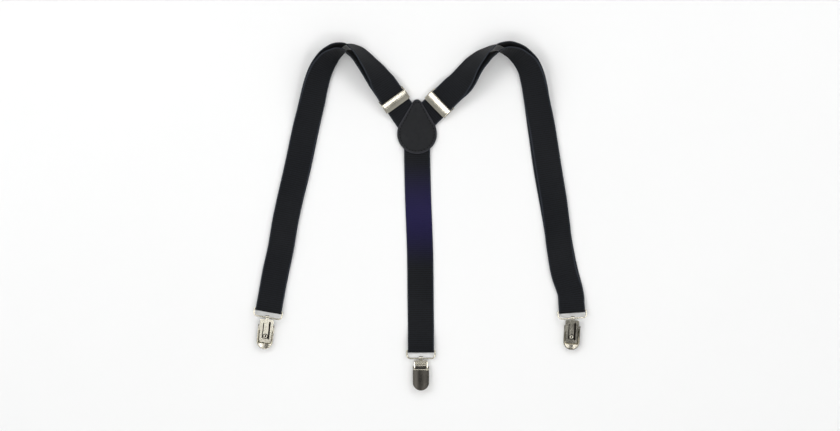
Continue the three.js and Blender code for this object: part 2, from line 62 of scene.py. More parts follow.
def unit(v):
    return v / np.linalg.norm(v, axis=-1, keepdims=True)


def runLength(line):  # the distance from the line's first point to each of its points
    return np.concatenate([[0], np.cumsum(np.linalg.norm(np.diff(line, axis=0), axis=1))])


def pointsAt(wanted, run, line):  # points on the line at the wanted distances
    return np.stack([np.interp(wanted, run, line[:, k]) for k in range(line.shape[1])], 1)


def smoothStep(t):
    return t * t * (3 - 2 * t)


def linear(hexColour):  # an sRGB hex colour as linear red, green, blue, alpha
    parts = [int(hexColour[i:i + 2], 16) / 255 for i in (1, 3, 5)]
    return [p / 12.92 if p <= 0.04045 else ((p + 0.055) / 1.055) ** 2.4 for p in parts] + [1.0]


def add(tree, kind, settings=None, links=None, **properties):
    # one node: its properties, then plain values on its inputs, then links from other nodes' outputs
    made = tree.nodes.new("ShaderNode" + kind)
    for name, value in properties.items():
        setattr(made, name, value)
    for socket, value in (settings or {}).items():
        made.inputs[socket].default_value = value
    for socket, source in (links or {}).items():
        tree.links.new(source, made.inputs[socket])
    return made


def newMaterial(name):
    made = bpy.data.materials.new(name)
    made.use_nodes = True
    tree = made.node_tree
    shader = next(n for n in tree.nodes if n.type == "BSDF_PRINCIPLED")
    return made, tree, shader


def sine(tree, value, pitch):  # a wave from 0 to 1 of the given pitch, as 0.5 + 0.5 sin(2 pi value / pitch)
    turned = add(tree, "Math", {1: 2 * math.pi / pitch}, {0: value}, operation="MULTIPLY")
    wave = add(tree, "Math", {}, {0: turned.outputs[0]}, operation="SINE")
    return add(tree, "Math", {1: 0.5, 2: 0.5}, {0: wave.outputs[0]}, operation="MULTIPLY_ADD").outputs[0]


webbingLook = {
    "dark": "#020203", "light": "#16191e", "selvedge": "#30343c", "fuzz": "#121419",
    "ribPitch": 2.0,      # mm, real cords are about 0.9 mm apart: drawn coarser so that they show
    "warpPitch": 1.25,    # mm between lengthwise yarns
    "twillPitch": 2.7,    # mm along the strap between twill lines of the inner face
    "edge": 11.1,         # mm from the middle, where the selvedge starts
    # the violet is a painted sheen, a reflection painted into the back strap's colour
    "tint": "#1d1548", "tintAt": 73.0, "tintReach": 56.0,  # mm down the back strap
}


def webbingMaterial(name, twill=0.0, withPaintedSheen=False):
    # woven polyester over rubber: dull, ribbed, with a slightly paler selvedge
    look = webbingLook
    made, tree, shader = newMaterial(name)
    uv = add(tree, "UVMap", uv_map="weave")
    split = add(tree, "SeparateXYZ", {}, {0: uv.outputs[0]})
    across = add(tree, "Math", {1: 100.0}, {0: split.outputs[0]}, operation="MULTIPLY").outputs[0]
    along = add(tree, "Math", {1: 100.0}, {0: split.outputs[1]}, operation="MULTIPLY").outputs[0]
    warp = sine(tree, across, look["warpPitch"])
    if twill:
        slanted = add(tree, "Math", {1: twill}, {0: across, 2: along}, operation="MULTIPLY_ADD").outputs[0]
        lines = sine(tree, slanted, look["twillPitch"])
    else:
        lines = sine(tree, along, look["ribPitch"])
    weave = add(tree, "Math", {1: 0.2}, {0: warp}, operation="MULTIPLY").outputs[0]
    weave = add(tree, "Math", {1: 0.8}, {0: lines, 2: weave}, operation="MULTIPLY_ADD").outputs[0]
    place = add(tree, "TexCoord")
    fuzz = add(tree, "TexNoise", {"Scale": 650.0, "Detail": 3.0}, {"Vector": place.outputs["Object"]})
    worn = add(tree, "TexNoise", {"Scale": 14.0, "Detail": 2.0}, {"Vector": place.outputs["Object"]})
    yarn = add(tree, "Mix", {6: linear(look["dark"]), 7: linear(look["light"])}, {0: weave},
               data_type="RGBA")
    mixed = add(tree, "MapRange", {1: 0.45, 2: 0.7, 3: 0.0, 4: 0.7}, {0: fuzz.outputs["Fac"]})
    fuzzy = add(tree, "Mix", {7: linear(look["fuzz"])}, {0: mixed.outputs[0], 6: yarn.outputs[2]},
                data_type="RGBA")
    side = add(tree, "Math", {}, {0: across}, operation="ABSOLUTE")
    rim = add(tree, "MapRange", {1: look["edge"], 2: look["edge"] + 0.5, 3: 0.0, 4: 0.7},
              {0: side.outputs[0]})
    colour = add(tree, "Mix", {7: linear(look["selvedge"])}, {0: rim.outputs[0], 6: fuzzy.outputs[2]},
                 data_type="RGBA")
    if withPaintedSheen:
        # a violet sheen is painted onto the back strap above its middle, fading either side: painted
        # reflected light
        away = add(tree, "Math", {1: look["tintAt"]}, {0: along}, operation="SUBTRACT")
        away = add(tree, "Math", {}, {0: away.outputs[0]}, operation="ABSOLUTE")
        sheenShare = add(tree, "MapRange", {1: 0.0, 2: look["tintReach"], 3: 0.7, 4: 0.0}, {0: away.outputs[0]},
                   interpolation_type="SMOOTHSTEP")
        colour = add(tree, "Mix", {7: linear(look["tint"])}, {0: sheenShare.outputs[0], 6: colour.outputs[2]},
                     data_type="RGBA")
    tree.links.new(colour.outputs[2], shader.inputs["Base Color"])
    rough = add(tree, "MapRange", {1: 0.3, 2: 0.7, 3: 0.72, 4: 0.92}, {0: worn.outputs["Fac"]})
    tree.links.new(rough.outputs[0], shader.inputs["Roughness"])
    height = add(tree, "Math", {1: 0.3}, {0: fuzz.outputs["Fac"], 2: weave}, operation="MULTIPLY_ADD")
    bump = add(tree, "Bump", {"Strength": 0.55, "Distance": 0.25 * mm}, {"Height": height.outputs[0]})
    tree.links.new(bump.outputs[0], shader.inputs["Normal"])
    shader.inputs["Sheen Weight"].default_value = 0.04
    shader.inputs["Sheen Roughness"].default_value = 0.5
    shader.inputs["Specular IOR Level"].default_value = 0.2
    return made


# rim is the colour of the painted highlight along the patch's bevelled rim
leatherLook = {"low": "#06080c", "high": "#0d0f14", "rim": "#34353b", "grain": 0.9,
               "roughness": (0.42, 0.6)}


def leatherMaterial():
    # dyed cowhide with an embossed grain, cut with a bevel; the paler rim is a painted highlight along the
    # rounded edge
    look = leatherLook
    made, tree, shader = newMaterial("dyed_cowhide_embossed")
    place = add(tree, "TexCoord")
    cells = add(tree, "TexVoronoi", {"Scale": 1000 / look["grain"]}, {"Vector": place.outputs["Object"]},
                feature="DISTANCE_TO_EDGE")
    fine = add(tree, "TexNoise", {"Scale": 260.0, "Detail": 5.0}, {"Vector": place.outputs["Object"]})
    broad = add(tree, "TexNoise", {"Scale": 45.0, "Detail": 2.0}, {"Vector": place.outputs["Object"]})
    base = add(tree, "Mix", {6: linear(look["low"]), 7: linear(look["high"])}, {0: broad.outputs["Fac"]},
               data_type="RGBA")
    # the rim attribute says where the highlight is painted on the bevel
    rim = add(tree, "Attribute", attribute_name="rim")
    colour = add(tree, "Mix", {7: linear(look["rim"])}, {0: rim.outputs["Fac"], 6: base.outputs[2]},
                 data_type="RGBA")
    tree.links.new(colour.outputs[2], shader.inputs["Base Color"])
    low, high = look["roughness"]
    rough = add(tree, "MapRange", {1: 0.3, 2: 0.7, 3: low, 4: high}, {0: fine.outputs["Fac"]})
    tree.links.new(rough.outputs[0], shader.inputs["Roughness"])
    grain = add(tree, "MapRange", {1: 0.0, 2: 0.12, 3: 0.0, 4: 1.0}, {0: cells.outputs["Distance"]})
    height = add(tree, "Math", {1: 0.5}, {0: fine.outputs["Fac"], 2: grain.outputs[0]},
                 operation="MULTIPLY_ADD")
    bump = add(tree, "Bump", {"Strength": 0.35, "Distance": 0.12 * mm}, {"Height": height.outputs[0]})
    tree.links.new(bump.outputs[0], shader.inputs["Normal"])
    shader.inputs["Specular IOR Level"].default_value = 0.28
    return made


# the wave is the width in mm of the sheet's faint unevenness
nickelLook = {"bright": "#e6e1d2", "smoky": "#c4bfb0", "roughness": (0.17, 0.24), "wave": 14.0}
# painted dark reflection: a darker copy of the nickel for the lever's outer side
darkReflectionLook = {"bright": "#504d48", "smoky": "#3c3a36", "roughness": (0.24, 0.32), "wave": 14.0}
# painted shade: a dark copy of the nickel for grooves, holes and the sunk ring round the rivet
paintedShadeLook = {"bright": "#2b2723", "smoky": "#171513", "roughness": (0.4, 0.55), "wave": 14.0}


def nickelMaterial(name, look):
    # nickel plate on stamped steel: warm mirror, faint waves from the stamping, duller where handled;
    # the darker looks are painted: painted shade in grooves and holes, a painted dark reflection on the
    # lever's outer side
    made, tree, shader = newMaterial(name)
    place = add(tree, "TexCoord")
    worn = add(tree, "TexNoise", {"Scale": 90.0, "Detail": 2.0}, {"Vector": place.outputs["Object"]})
    stretch = add(tree, "Mapping", {"Scale": (1.0, 6.0, 1.0)}, {"Vector": place.outputs["Object"]})
    lines = add(tree, "TexNoise", {"Scale": 1000 / look["wave"], "Detail": 1.0},
                {"Vector": stretch.outputs[0]})
    colour = add(tree, "Mix", {6: linear(look["smoky"]), 7: linear(look["bright"])},
                 {0: worn.outputs["Fac"]}, data_type="RGBA")
    tree.links.new(colour.outputs[2], shader.inputs["Base Color"])
    low, high = look["roughness"]
    rough = add(tree, "MapRange", {1: 0.3, 2: 0.7, 3: low, 4: high}, {0: worn.outputs["Fac"]})
    tree.links.new(rough.outputs[0], shader.inputs["Roughness"])
    bump = add(tree, "Bump", {"Strength": 0.02, "Distance": 0.02 * mm}, {"Height": lines.outputs["Fac"]})
    tree.links.new(bump.outputs[0], shader.inputs["Normal"])
    shader.inputs["Metallic"].default_value = 1.0
    return made


def plasticMaterial():
    # moulded polyethylene: waxy, faintly uneven
    made, tree, shader = newMaterial("moulded_polyethylene")
    place = add(tree, "TexCoord")
    cloud = add(tree, "TexNoise", {"Scale": 180.0, "Detail": 3.0}, {"Vector": place.outputs["Object"]})
    colour = add(tree, "Mix", {6: linear("#cfcbbf"), 7: linear("#e2dfd6")}, {0: cloud.outputs["Fac"]},
                 data_type="RGBA")
    tree.links.new(colour.outputs[2], shader.inputs["Base Color"])
    bump = add(tree, "Bump", {"Strength": 0.2, "Distance": 0.05 * mm}, {"Height": cloud.outputs["Fac"]})
    tree.links.new(bump.outputs[0], shader.inputs["Normal"])
    shader.inputs["Roughness"].default_value = 0.42
    return made


def threadMaterial():
    # bonded nylon thread: two plies, a little shine
    made, tree, shader = newMaterial("bonded_nylon_thread")
    place = add(tree, "TexCoord")
    ply = add(tree, "TexNoise", {"Scale": 900.0, "Detail": 2.0}, {"Vector": place.outputs["Object"]})
    colour = add(tree, "Mix", {6: linear("#020203"), 7: linear("#08090b")}, {0: ply.outputs["Fac"]},
                 data_type="RGBA")
    tree.links.new(colour.outputs[2], shader.inputs["Base Color"])
    bump = add(tree, "Bump", {"Strength": 0.4, "Distance": 0.08 * mm}, {"Height": ply.outputs["Fac"]})
    tree.links.new(bump.outputs[0], shader.inputs["Normal"])
    shader.inputs["Roughness"].default_value = 0.85
    shader.inputs["Specular IOR Level"].default_value = 0.15
    return made


outerWeave = webbingMaterial("woven_elastic_ribbed_face")
innerWeave = webbingMaterial("woven_elastic_twill_face", twill=0.9)
# the back strap's copy carries the painted violet sheen
backWeave = webbingMaterial("woven_elastic_ribbed_face_back_strap", withPaintedSheen=True)
hide = leatherMaterial()
nickel = nickelMaterial("nickel_plated_stamped_steel", nickelLook)
# the lever's darker copy of the nickel is a painted dark reflection
darkReflectionNickel = nickelMaterial("smoky_nickel_plated_lever_steel", darkReflectionLook)
# the dark copy of the nickel is painted shade for the hollows
paintedShadeNickel = nickelMaterial("tarnished_nickel_in_pressed_grooves", paintedShadeLook)
plastic = plasticMaterial()
thread = threadMaterial()
print("materials made")


def newPiece(name, vertices, faces, materials, smooth=True):
    mesh = bpy.data.meshes.new(name)
    mesh.from_pydata(np.asarray(vertices, float).tolist(), [],
                     faces.tolist() if hasattr(faces, "tolist") else faces)
    for made in materials:
        mesh.materials.append(made)
    mesh.shade_smooth() if smooth else mesh.shade_flat()
    return addPiece(name, mesh)


def addPiece(name, mesh):
    piece = bpy.data.objects.new(name, mesh)
    bpy.context.collection.objects.link(piece)
    return piece


def faceOut(piece):  # turns all faces outwards
    work = bmesh.new()
    work.from_mesh(piece.data)
    bmesh.ops.recalc_face_normals(work, faces=work.faces)
    work.to_mesh(piece.data)
    work.free()


def gridFaces(rows, columns, wrapRows=False):
    # quads between neighbouring rows of a grid whose columns close on themselves
    r = np.arange(rows if wrapRows else rows - 1)[:, None]
    c = np.arange(columns)[None, :]
    nextR, nextC = (r + 1) % rows, (c + 1) % columns
    quads = np.stack([r * columns + c, r * columns + nextC,
                      nextR * columns + nextC, nextR * columns + c], -1)
    return quads.reshape(-1, 4)


def gridWithPoles(rows, columns):
    # the grid's quads and a fan at each end: the two poles are the vertices after the grid's own
    k, last = np.arange(columns), rows * columns
    faces = gridFaces(rows, columns).tolist()
    faces += np.stack([np.full(columns, last), (k + 1) % columns, k], 1).tolist()
    faces += np.stack([np.full(columns, last + 1), last - columns + k,
                       last - columns + (k + 1) % columns], 1).tolist()
    return faces


webbing = {"width": 25 * mm, "thick": 1.1 * mm, "acrossSteps": 22, "bead": 0.05 * mm, "step": 1.5 * mm}


def webbingSection():
    # w runs across, t through: two nearly flat faces, a small bead at each selvedge, and round ends
    half, thick = webbing["width"] / 2, webbing["thick"] / 2
    w = np.linspace(-1, 1, webbing["acrossSteps"]) * (half - 0.35 * mm)
    bead = np.exp(-((half - 0.9 * mm - abs(w)) / (0.5 * mm)) ** 2)
    lift = thick - webbing["bead"] + webbing["bead"] * bead
    turn = np.radians([55, 18, -18, -55])
    endW = half - 0.4 * mm + 0.4 * mm * np.cos(turn)
    endT = (thick - 0.08 * mm) * np.sin(turn)
    return (np.concatenate([w, endW, w[::-1], -endW]), np.concatenate([lift, endT, -lift, -endT]))


def sweepWebbing(name, at, across, side, materials, skew=None, vStart=0.0):
    # carries the section along a line: point = at + across w + normal t, where normal is across x along;
    # skew moves each column of the first rows along the strap, so that its end is cut at a slant
    w, t = webbingSection()
    along = unit(np.gradient(at, axis=0))
    normal = unit(np.cross(across, along)) * side
    grid = at[:, None] + across[:, None] * w[None, :, None] + normal[:, None] * t[None, :, None]
    v = runLength(at) + vStart
    vGrid = np.repeat(v[:, None], len(w), 1)
    if skew is not None:
        shift = skew(w)[None, :] * np.linspace(1, 0, 10)[:-1, None]
        start = grid[:1] + along[0] * shift[:, :, None]
        grid = np.concatenate([start, grid])
        vGrid = np.concatenate([v[0] + shift, vGrid])
    rows, columns = grid.shape[:2]
    quads = gridFaces(rows, columns)
    piece = newPiece(name, grid.reshape(-1, 3), quads, materials)
    uv = np.stack([np.repeat(w[None], rows, 0), vGrid], -1).reshape(-1, 2) * 10
    work = bmesh.new()
    work.from_mesh(piece.data)
    work.verts.ensure_lookup_table()
    for row in (0, rows - 1):
        work.faces.new([work.verts[row * columns + k] for k in range(columns)])
    bmesh.ops.recalc_face_normals(work, faces=work.faces)
    work.to_mesh(piece.data)
    work.free()
    layer = piece.data.uv_layers.new(name="weave")
    corner = np.empty(len(piece.data.loops), int)
    piece.data.loops.foreach_get("vertex_index", corner)
    layer.data.foreach_set("uv", uv[corner].ravel().astype(np.float32))
    if len(materials) > 1:
        # the second material is the inner face: faces whose middle lies on the section's lower half
        steps = webbing["acrossSteps"]
        column = np.tile(np.arange(columns), rows - 1)
        inner = (column >= steps + 2) & (column < 2 * steps + 5)
        index = np.zeros(len(piece.data.polygons), np.int32)
        index[:len(inner)] = inner
        piece.data.polygons.foreach_set("material_index", index)
    piece.data.shade_smooth()
    return piece


patchLow, patchHigh = (np.array(corner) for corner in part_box("patch_back"))
patch = {"centre": np.array([-2.6, 78.8]) * mm, "radius": 19 * mm, "tip": 4.4 * mm, "length": 52 * mm,
         "leather": 1.2 * mm}
patchTop = patch["centre"][1] + patch["length"] - patch["radius"]
# from the maker's own origin to the frame's: the patch lies at the same place in both
home = np.array([(patchLow[0] + patchHigh[0]) / 2 - patch["centre"][0], patchHigh[1] - patchTop,
                 patchLow[2]])
gap = 0.3 * mm
halfStrap, thick = webbing["width"] / 2, webbing["thick"]
foldRadius = 0.8 * mm + gap + thick / 2
patchLayer = patch["leather"] + gap + thick / 2
twistRoom = 0.7 * mm
# mm along the strap from the adjuster's own middle, and the height of its cover's hinge
reach = {
    "start": -6.5 * mm, "bar": 6.6 * mm, "tailEnd": 13.6 * mm, "end": 18.9 * mm,
    "hingeY": 3.9 * mm, "hingeZ": 2.1 * mm, "inPatch": 12 * mm,
}

# each row: x, y in mm, tilt in degrees (0 face up, 90 on edge, 180 face down), then the inner layer's
# inset and sideways shift in mm
fronts = {
    "left": {
        "side": 1, "tilt": 5, "endTilt": 11,
        "route": [
            [-39.7, 134.9, 37, 2.6, 1.6], [-50.4, 149, 56, 3.6, 2.0], [-56.6, 156.2, 65, 4.6, 1.6],
            [-63.5, 161.2, 76, 6, 0.8], [-71.4, 163.9, 90, 6.6, 0], [-81.9, 158.9, 113, 5.2, 0],
            [-89.5, 149.9, 133, 3.6, 0], [-95.5, 138, 147, 2.6, 0], [-99.6, 124.2, 157, 2.1, 0],
            [-102.9, 108.9, 166, 1.8, 0], [-109.1, 81.2, 180, 1.5, 0.4], [-116.8, 44.4, 180, 1.5, 0.5],
            [-123.9, 15.8, 180, 1.5, 0], [-128.7, -7.2, 180, 1.5, 0], [-132.5, -30.1, 180, 1.5, 0],
            [-137.3, -53, 180, 1.5, 0.3],
        ],
    },
    "right": {
        "side": -1, "tilt": 0, "endTilt": 6.5,
        "route": [
            [38.9, 129, 27, 2.2, 1.8], [49.3, 144.3, 50, 3.4, 2.2], [56.5, 152, 62, 4.6, 1.8],
            [65.3, 159, 77, 6, 0.8], [75.5, 163.9, 90, 6.8, 0], [87.5, 161.1, 111, 5.6, 0],
            [96.6, 154.2, 128, 4.4, 0], [104.6, 142.5, 146, 2.8, 0], [108.8, 128.5, 158, 2.2, 0],
            [111.7, 110, 168, 1.8, 0.4], [115.9, 81, 180, 1.5, 1.6], [121.2, 44.4, 180, 1.5, 2],
            [126.3, 15.8, 180, 1.5, 1.6], [130.4, -7.2, 180, 1.5, 0.4], [134.1, -30.1, 180, 1.5, -0.6],
            [138.8, -53, 180, 1.5, -1.4],
        ],
    },
}


def smoothRows(rows, perRow, tension=None):
    # Catmull-Rom curve through the rows: centripetal, or with a fixed tension where one is given
    rows = np.vstack([2 * rows[0] - rows[1], rows, 2 * rows[-1] - rows[-2]])
    p0, p1, p2, p3 = rows[:-3], rows[1:-2], rows[2:-1], rows[3:]
    if tension is None:
        d0, d1, d2 = (np.sqrt(np.linalg.norm(b - a, axis=1, keepdims=True))
                      for a, b in ((p0, p1), (p1, p2), (p2, p3)))
        m1 = ((p1 - p0) / d0 - (p2 - p0) / (d0 + d1) + (p2 - p1) / d1) * d1
        m2 = ((p2 - p1) / d1 - (p3 - p1) / (d1 + d2) + (p3 - p2) / d2) * d1
    else:
        m1, m2 = tension * (p2 - p0), tension * (p3 - p1)
    t = (np.arange(perRow) / perRow)[None, :, None]
    p1, p2, m1, m2 = (a[:, None] for a in (p1, p2, m1, m2))
    curve = p1 + m1 * t + (3 * (p2 - p1) - 2 * m1 - m2) * t ** 2 + (2 * (p1 - p2) + m1 + m2) * t ** 3
    return np.vstack([curve.reshape(-1, rows.shape[1]), rows[-2]])


def stance(flatAlong, tilt, side):
    # the width direction and the outer face of webbing tilted about its own run
    outward = np.cross(flatAlong, up) * side
    c, s = np.cos(tilt)[:, None], np.sin(tilt)[:, None]
    return outward * c - up * s, outward * s + up * c


def edgeHeight(tilt):
    return halfStrap * abs(np.sin(tilt)) + thick / 2 * abs(np.cos(tilt))


def evenly(at, *others, step=None):
    # picks points at even steps along a line
    length = runLength(at)
    count = max(int(length[-1] / (step or webbing["step"])), 4)
    wanted = np.linspace(0, length[-1], count + 1)
    return [pointsAt(wanted, length, line) for line in (at, *others)]


def halfTurn(bar, down, start, steps=14):
    turn = np.linspace(0, math.pi, steps)[:, None]
    return bar + down * foldRadius * np.sin(turn) + up * start * foldRadius * np.cos(turn)


def adjusterAxes(name):
    slide = np.array(joints[name + "_adjuster_slide"]["axis"])
    hinge = joints[name + "_adjuster_cover_hinge"]
    x = -np.array(hinge["axis"])
    face = np.cross(x, slide)
    origin = np.array(hinge["pos_m"]) - reach["hingeY"] * slide - reach["hingeZ"] * face
    return origin, x, slide, face


def bailAxes(name):
    bar = np.array(joints[name + "_bail_swing"]["pos_m"])
    wire = np.array(joints[name + "_clip_swing"]["pos_m"])
    x = -np.array(joints[name + "_bail_swing"]["axis"])
    down = unit(wire - bar)
    return bar, x, down


def frontStrapLines(name):
    front = fronts[name]
    origin, _, along, _ = adjusterAxes(name)
    bar, barX, _ = bailAxes(name)
    down = np.cross(barX, up)
    down = down * (1 if down[1] < 0 else -1)
    tilt0 = math.radians(front["tilt"])
    rows, extra = [], []

    def row(point, tilt, inset, shift=0.0, lift=None):
        height = point[2] - home[2] - float(edgeHeight(tilt)) if lift is None else lift
        rows.append([point[0], point[1], height])
        extra.append([tilt, inset * mm, shift * mm])

    # between the leathers the strap lies flat, then it follows the adjuster
    for s, height in ((-28, patchLayer), (-18, patchLayer), (-11, patchLayer + 0.1 * mm)):
        point = origin + along * s * mm
        point[2] = height + home[2]
        row(point, 0.0, 1.5)
    for s in (reach["start"], 0, reach["bar"]):
        row(origin + along * s, tilt0, 1.5)
    # it starts to turn on edge behind the adjuster
    row(origin + along * reach["end"], math.radians(front["endTilt"]), 1.5)
    for x, y, tilt, inset, shift in front["route"]:
        turn = math.radians(tilt)
        under = max(math.cos(turn), 0) * (inset * mm + twistRoom)
        row(np.array([x * mm, y * mm, 0]) + home, turn, inset, shift, under)
    for back, inset in ((16, 1.5), (7, 2.8), (0, 2 * foldRadius / mm)):
        row(bar - down * back * mm, math.pi, inset, 0.0, 0.0)
    perRow = 24
    curve = smoothRows(np.array(rows), perRow)
    tilt, inset, shift = smoothRows(np.array(extra), perRow, 0.3).T
    flat = np.gradient(curve, axis=0)
    flat[:, 2] = 0
    across, face = stance(unit(flat), tilt, front["side"])
    at = curve.copy()
    at[:, 2] = edgeHeight(tilt) + curve[:, 2] + home[2]
    inner = at - face * inset[:, None] - across * shift[:, None]
    fold = halfTurn(bar, down, -1)
    s = (at - origin) @ along
    return {"at": at, "across": across, "inner": inner, "fold": fold, "s": s, "perRow": perRow,
            "origin": origin, "along": along}


def makeFrontStrap(name):
    front = fronts[name]
    lines = frontStrapLines(name)
    at, across, inner, fold = (lines[k] for k in ("at", "across", "inner", "fold"))
    perRow = lines["perRow"]
    first = int(1.6 * perRow)  # past the slanted end that lies in the patch
    slackFrom = int(6.25 * perRow)  # where the inner layer's own stretch ends
    tailAt = int(np.argmin(abs(lines["s"][:7 * perRow] - reach["tailEnd"])))
    foldAcross = np.repeat(across[-1:], len(fold), 0)
    wholeAt = np.vstack([at[first:-1], fold, inner[slackFrom:-1][::-1]])
    wholeAcross = np.vstack([across[first:-1], foldAcross, across[slackFrom:-1][::-1]])
    wholeAt, wholeAcross = evenly(wholeAt, wholeAcross)
    wholeAcross = unit(wholeAcross)
    startS = lines["s"][first]
    alongFlat = unit(lines["along"] * [1, 1, 0])
    acrossFlat = across[first]
    seam = patch["centre"][0] + home[0] - front["side"] * 0.2 * mm
    below = patch["centre"][1] + home[1] - 3.4 * mm

    def skew(w):
        # how far each lengthwise line runs on into the patch, to its middle line or to the back strap
        x = at[first][0] + acrossFlat[0] * w
        y = at[first][1] + acrossFlat[1] * w
        toSeam = (seam - x) / alongFlat[0]
        toBelow = (below - y) / alongFlat[1]
        return np.minimum(np.maximum(toSeam, toBelow), -0.5 * mm)

    strap = sweepWebbing(name + "_strap_webbing", wholeAt, wholeAcross, front["side"],
                         [outerWeave, innerWeave], skew, startS)
    slackAt, slackAcross = evenly(inner[tailAt:slackFrom + 1][::-1], across[tailAt:slackFrom + 1][::-1],
                                  step=0.8 * mm)
    slack = sweepWebbing(name + "_strap_slack", slackAt, unit(slackAcross), front["side"],
                         [outerWeave, innerWeave], None, 0.5)
    length = np.linalg.norm(np.diff(wholeAt, axis=0), axis=1).sum() + reach["inPatch"]
    return strap, slack, length, lines


tailShape = {"sheet": 0.8 * mm, "twist": 4.3, "drop": 0.3 * mm, "barHalf": 1.3 * mm, "stitches": 9,
             "rows": (10.2 * mm, 12.4 * mm)}


def makeTail(name):
    # the webbing's end goes round the adjuster's flat back bar: two straight layers joined by a half turn
    origin, x, along, face = adjusterAxes(name)
    side = fronts[name]["side"]
    barZ = -thick / 2 - gap - thick - gap - tailShape["sheet"] / 2
    radius = tailShape["sheet"] / 2 + gap + thick / 2
    turnAt = reach["bar"] - tailShape["barHalf"] - gap + radius - thick / 2
    turn, straight = np.linspace(math.pi / 2, 3 * math.pi / 2, 16), 14
    y = np.concatenate([np.linspace(reach["tailEnd"], turnAt + 0.3 * mm, straight),
                        turnAt + radius * np.cos(turn),
                        np.linspace(turnAt + 0.3 * mm, reach["tailEnd"] - 0.3 * mm, straight)])
    z = np.concatenate([np.full(straight, barZ + radius), barZ + radius * np.sin(turn),
                        np.full(straight, barZ - radius)])
    behindBar = reach["bar"] + 1.6 * mm
    # beyond the bar the lower layer comes up to the upper one, where the two are sewn
    pinch = np.clip((y - behindBar) / (3 * mm), 0, 1)
    z = np.where(np.arange(len(z)) >= straight + len(turn),
                 z + (2 * radius - thick - 0.15 * mm) * smoothStep(pinch), z)
    # behind the bar the tail sinks a little and turns with the strap above it
    behind = np.clip((y - behindBar) / (reach["tailEnd"] - behindBar), 0, 1)
    z = z - tailShape["drop"] * behind ** 0.5
    turned = np.radians(tailShape["twist"]) * behind[:, None]
    line = origin + along * y[:, None] + face * z[:, None]
    line, across = evenly(line, x * side * np.cos(turned) - face * np.sin(turned), step=0.7 * mm)
    across = unit(across)
    piece = sweepWebbing(name + "_strap_tail_webbing", line, across, -side,
                         [outerWeave, innerWeave], None, 0.6)
    under = barZ + radius - thick - 0.15 * mm - thick / 2
    places = np.linspace(-10.5, 10.5, tailShape["stitches"])[:, None] * mm
    seams = []
    for rowY in tailShape["rows"]:
        turned = math.radians(tailShape["twist"]) * (rowY - behindBar) / (reach["tailEnd"] - behindBar)
        wide = x * side * math.cos(turned) - face * math.sin(turned)
        spots = origin + along * rowY + face * (under - tailShape["drop"]) + wide * places
        seams.append((spots, np.repeat(wide[None], len(spots), 0)))
    stitches = makeStitches(name + "_tail_stitches", seams, face, 1.5 * mm)
    return piece, stitches


def makeStitches(name, seams, outward, length, radius=0.17 * mm):
    # one stitch is a short round rod that dives at both ends: point = spot + along u + side a + out b
    sides, rings = 8, 7
    u = np.linspace(-1, 1, rings)
    turn = np.arange(sides) * 2 * math.pi / sides
    swell = radius * np.sqrt(1 - 0.85 * u ** 2)
    arch = -1.1 * radius * u ** 4
    a = swell[:, None] * np.cos(turn)
    b = swell[:, None] * np.sin(turn) + arch[:, None]
    c = np.repeat(u[:, None] * length / 2, sides, 1)
    faces = gridFaces(rings, sides)
    allPoints, allFaces, offset = [], [], 0
    for spots, directions in seams:
        out = np.broadcast_to(outward, spots.shape) if np.ndim(outward) == 1 else outward
        side = unit(np.cross(directions, out))
        points = (spots[:, None, None] + directions[:, None, None] * c[None, :, :, None]
                  + side[:, None, None] * a[None, :, :, None] + out[:, None, None] * b[None, :, :, None])
        allPoints.append(points.reshape(-1, 3))
        block = rings * sides
        starts = offset + np.arange(len(spots)) * block
        allFaces += (starts[:, None, None] + faces[None]).reshape(-1, 4).tolist()
        for cap in (np.arange(sides), block - sides + np.arange(sides)[::-1]):
            allFaces += (starts[:, None] + cap[None]).tolist()
        offset += len(spots) * block
    piece = newPiece(name, np.vstack(allPoints), allFaces, [thread])
    faceOut(piece)
    return piece


patchLook = {"stitchInset": 2.6, "stitchPitch": 2.9 * mm, "stitch": 2.0 * mm, "crown": 0.35 * mm,
             "around": 220}


def teardropOutline(count):
    # a big circle below and a small one above, joined by their common tangents, at even steps
    cx, cy = patch["centre"] + home[:2]
    tipY = patchTop + home[1] - patch["tip"]
    lean = math.asin((patch["radius"] - patch["tip"]) / (tipY - cy))
    lower = np.linspace(math.pi - lean, 2 * math.pi + lean, 200)
    upper = np.linspace(lean, math.pi - lean, 60)
    circle = lambda x, y, r, a: np.stack([x + r * np.cos(a), y + r * np.sin(a)], 1)
    line = np.vstack([circle(cx, cy, patch["radius"], lower), circle(cx, tipY, patch["tip"], upper)])
    line = np.vstack([line, line[:1]])
    length = runLength(line)
    return pointsAt(np.linspace(0, length[-1], count, endpoint=False), length, line)


def strapSupport(x, y, lines):
    # 1 where a strap lies under the leather, falling to 0 over 4 mm beside it
    best = np.zeros_like(x)
    bands = [(lines[k]["origin"], lines[k]["along"]) for k in ("left", "right")]
    bands.append((np.array([patch["centre"][0] + home[0], 0, 0]), np.array([0.0, -1.0, 0])))
    for origin, along in bands:
        flat = unit(along[:2])
        away = abs((x - origin[0]) * flat[1] - (y - origin[1]) * flat[0])
        middle = patch["centre"] + home[:2]
        ahead = (x - middle[0]) * flat[0] + (y - middle[1]) * flat[1]
        band = np.clip((halfStrap + 3 * mm - away) / (4 * mm), 0, 1) * np.clip(ahead / (6 * mm) + 1, 0, 1)
        best = np.maximum(best, smoothStep(band))
    return best


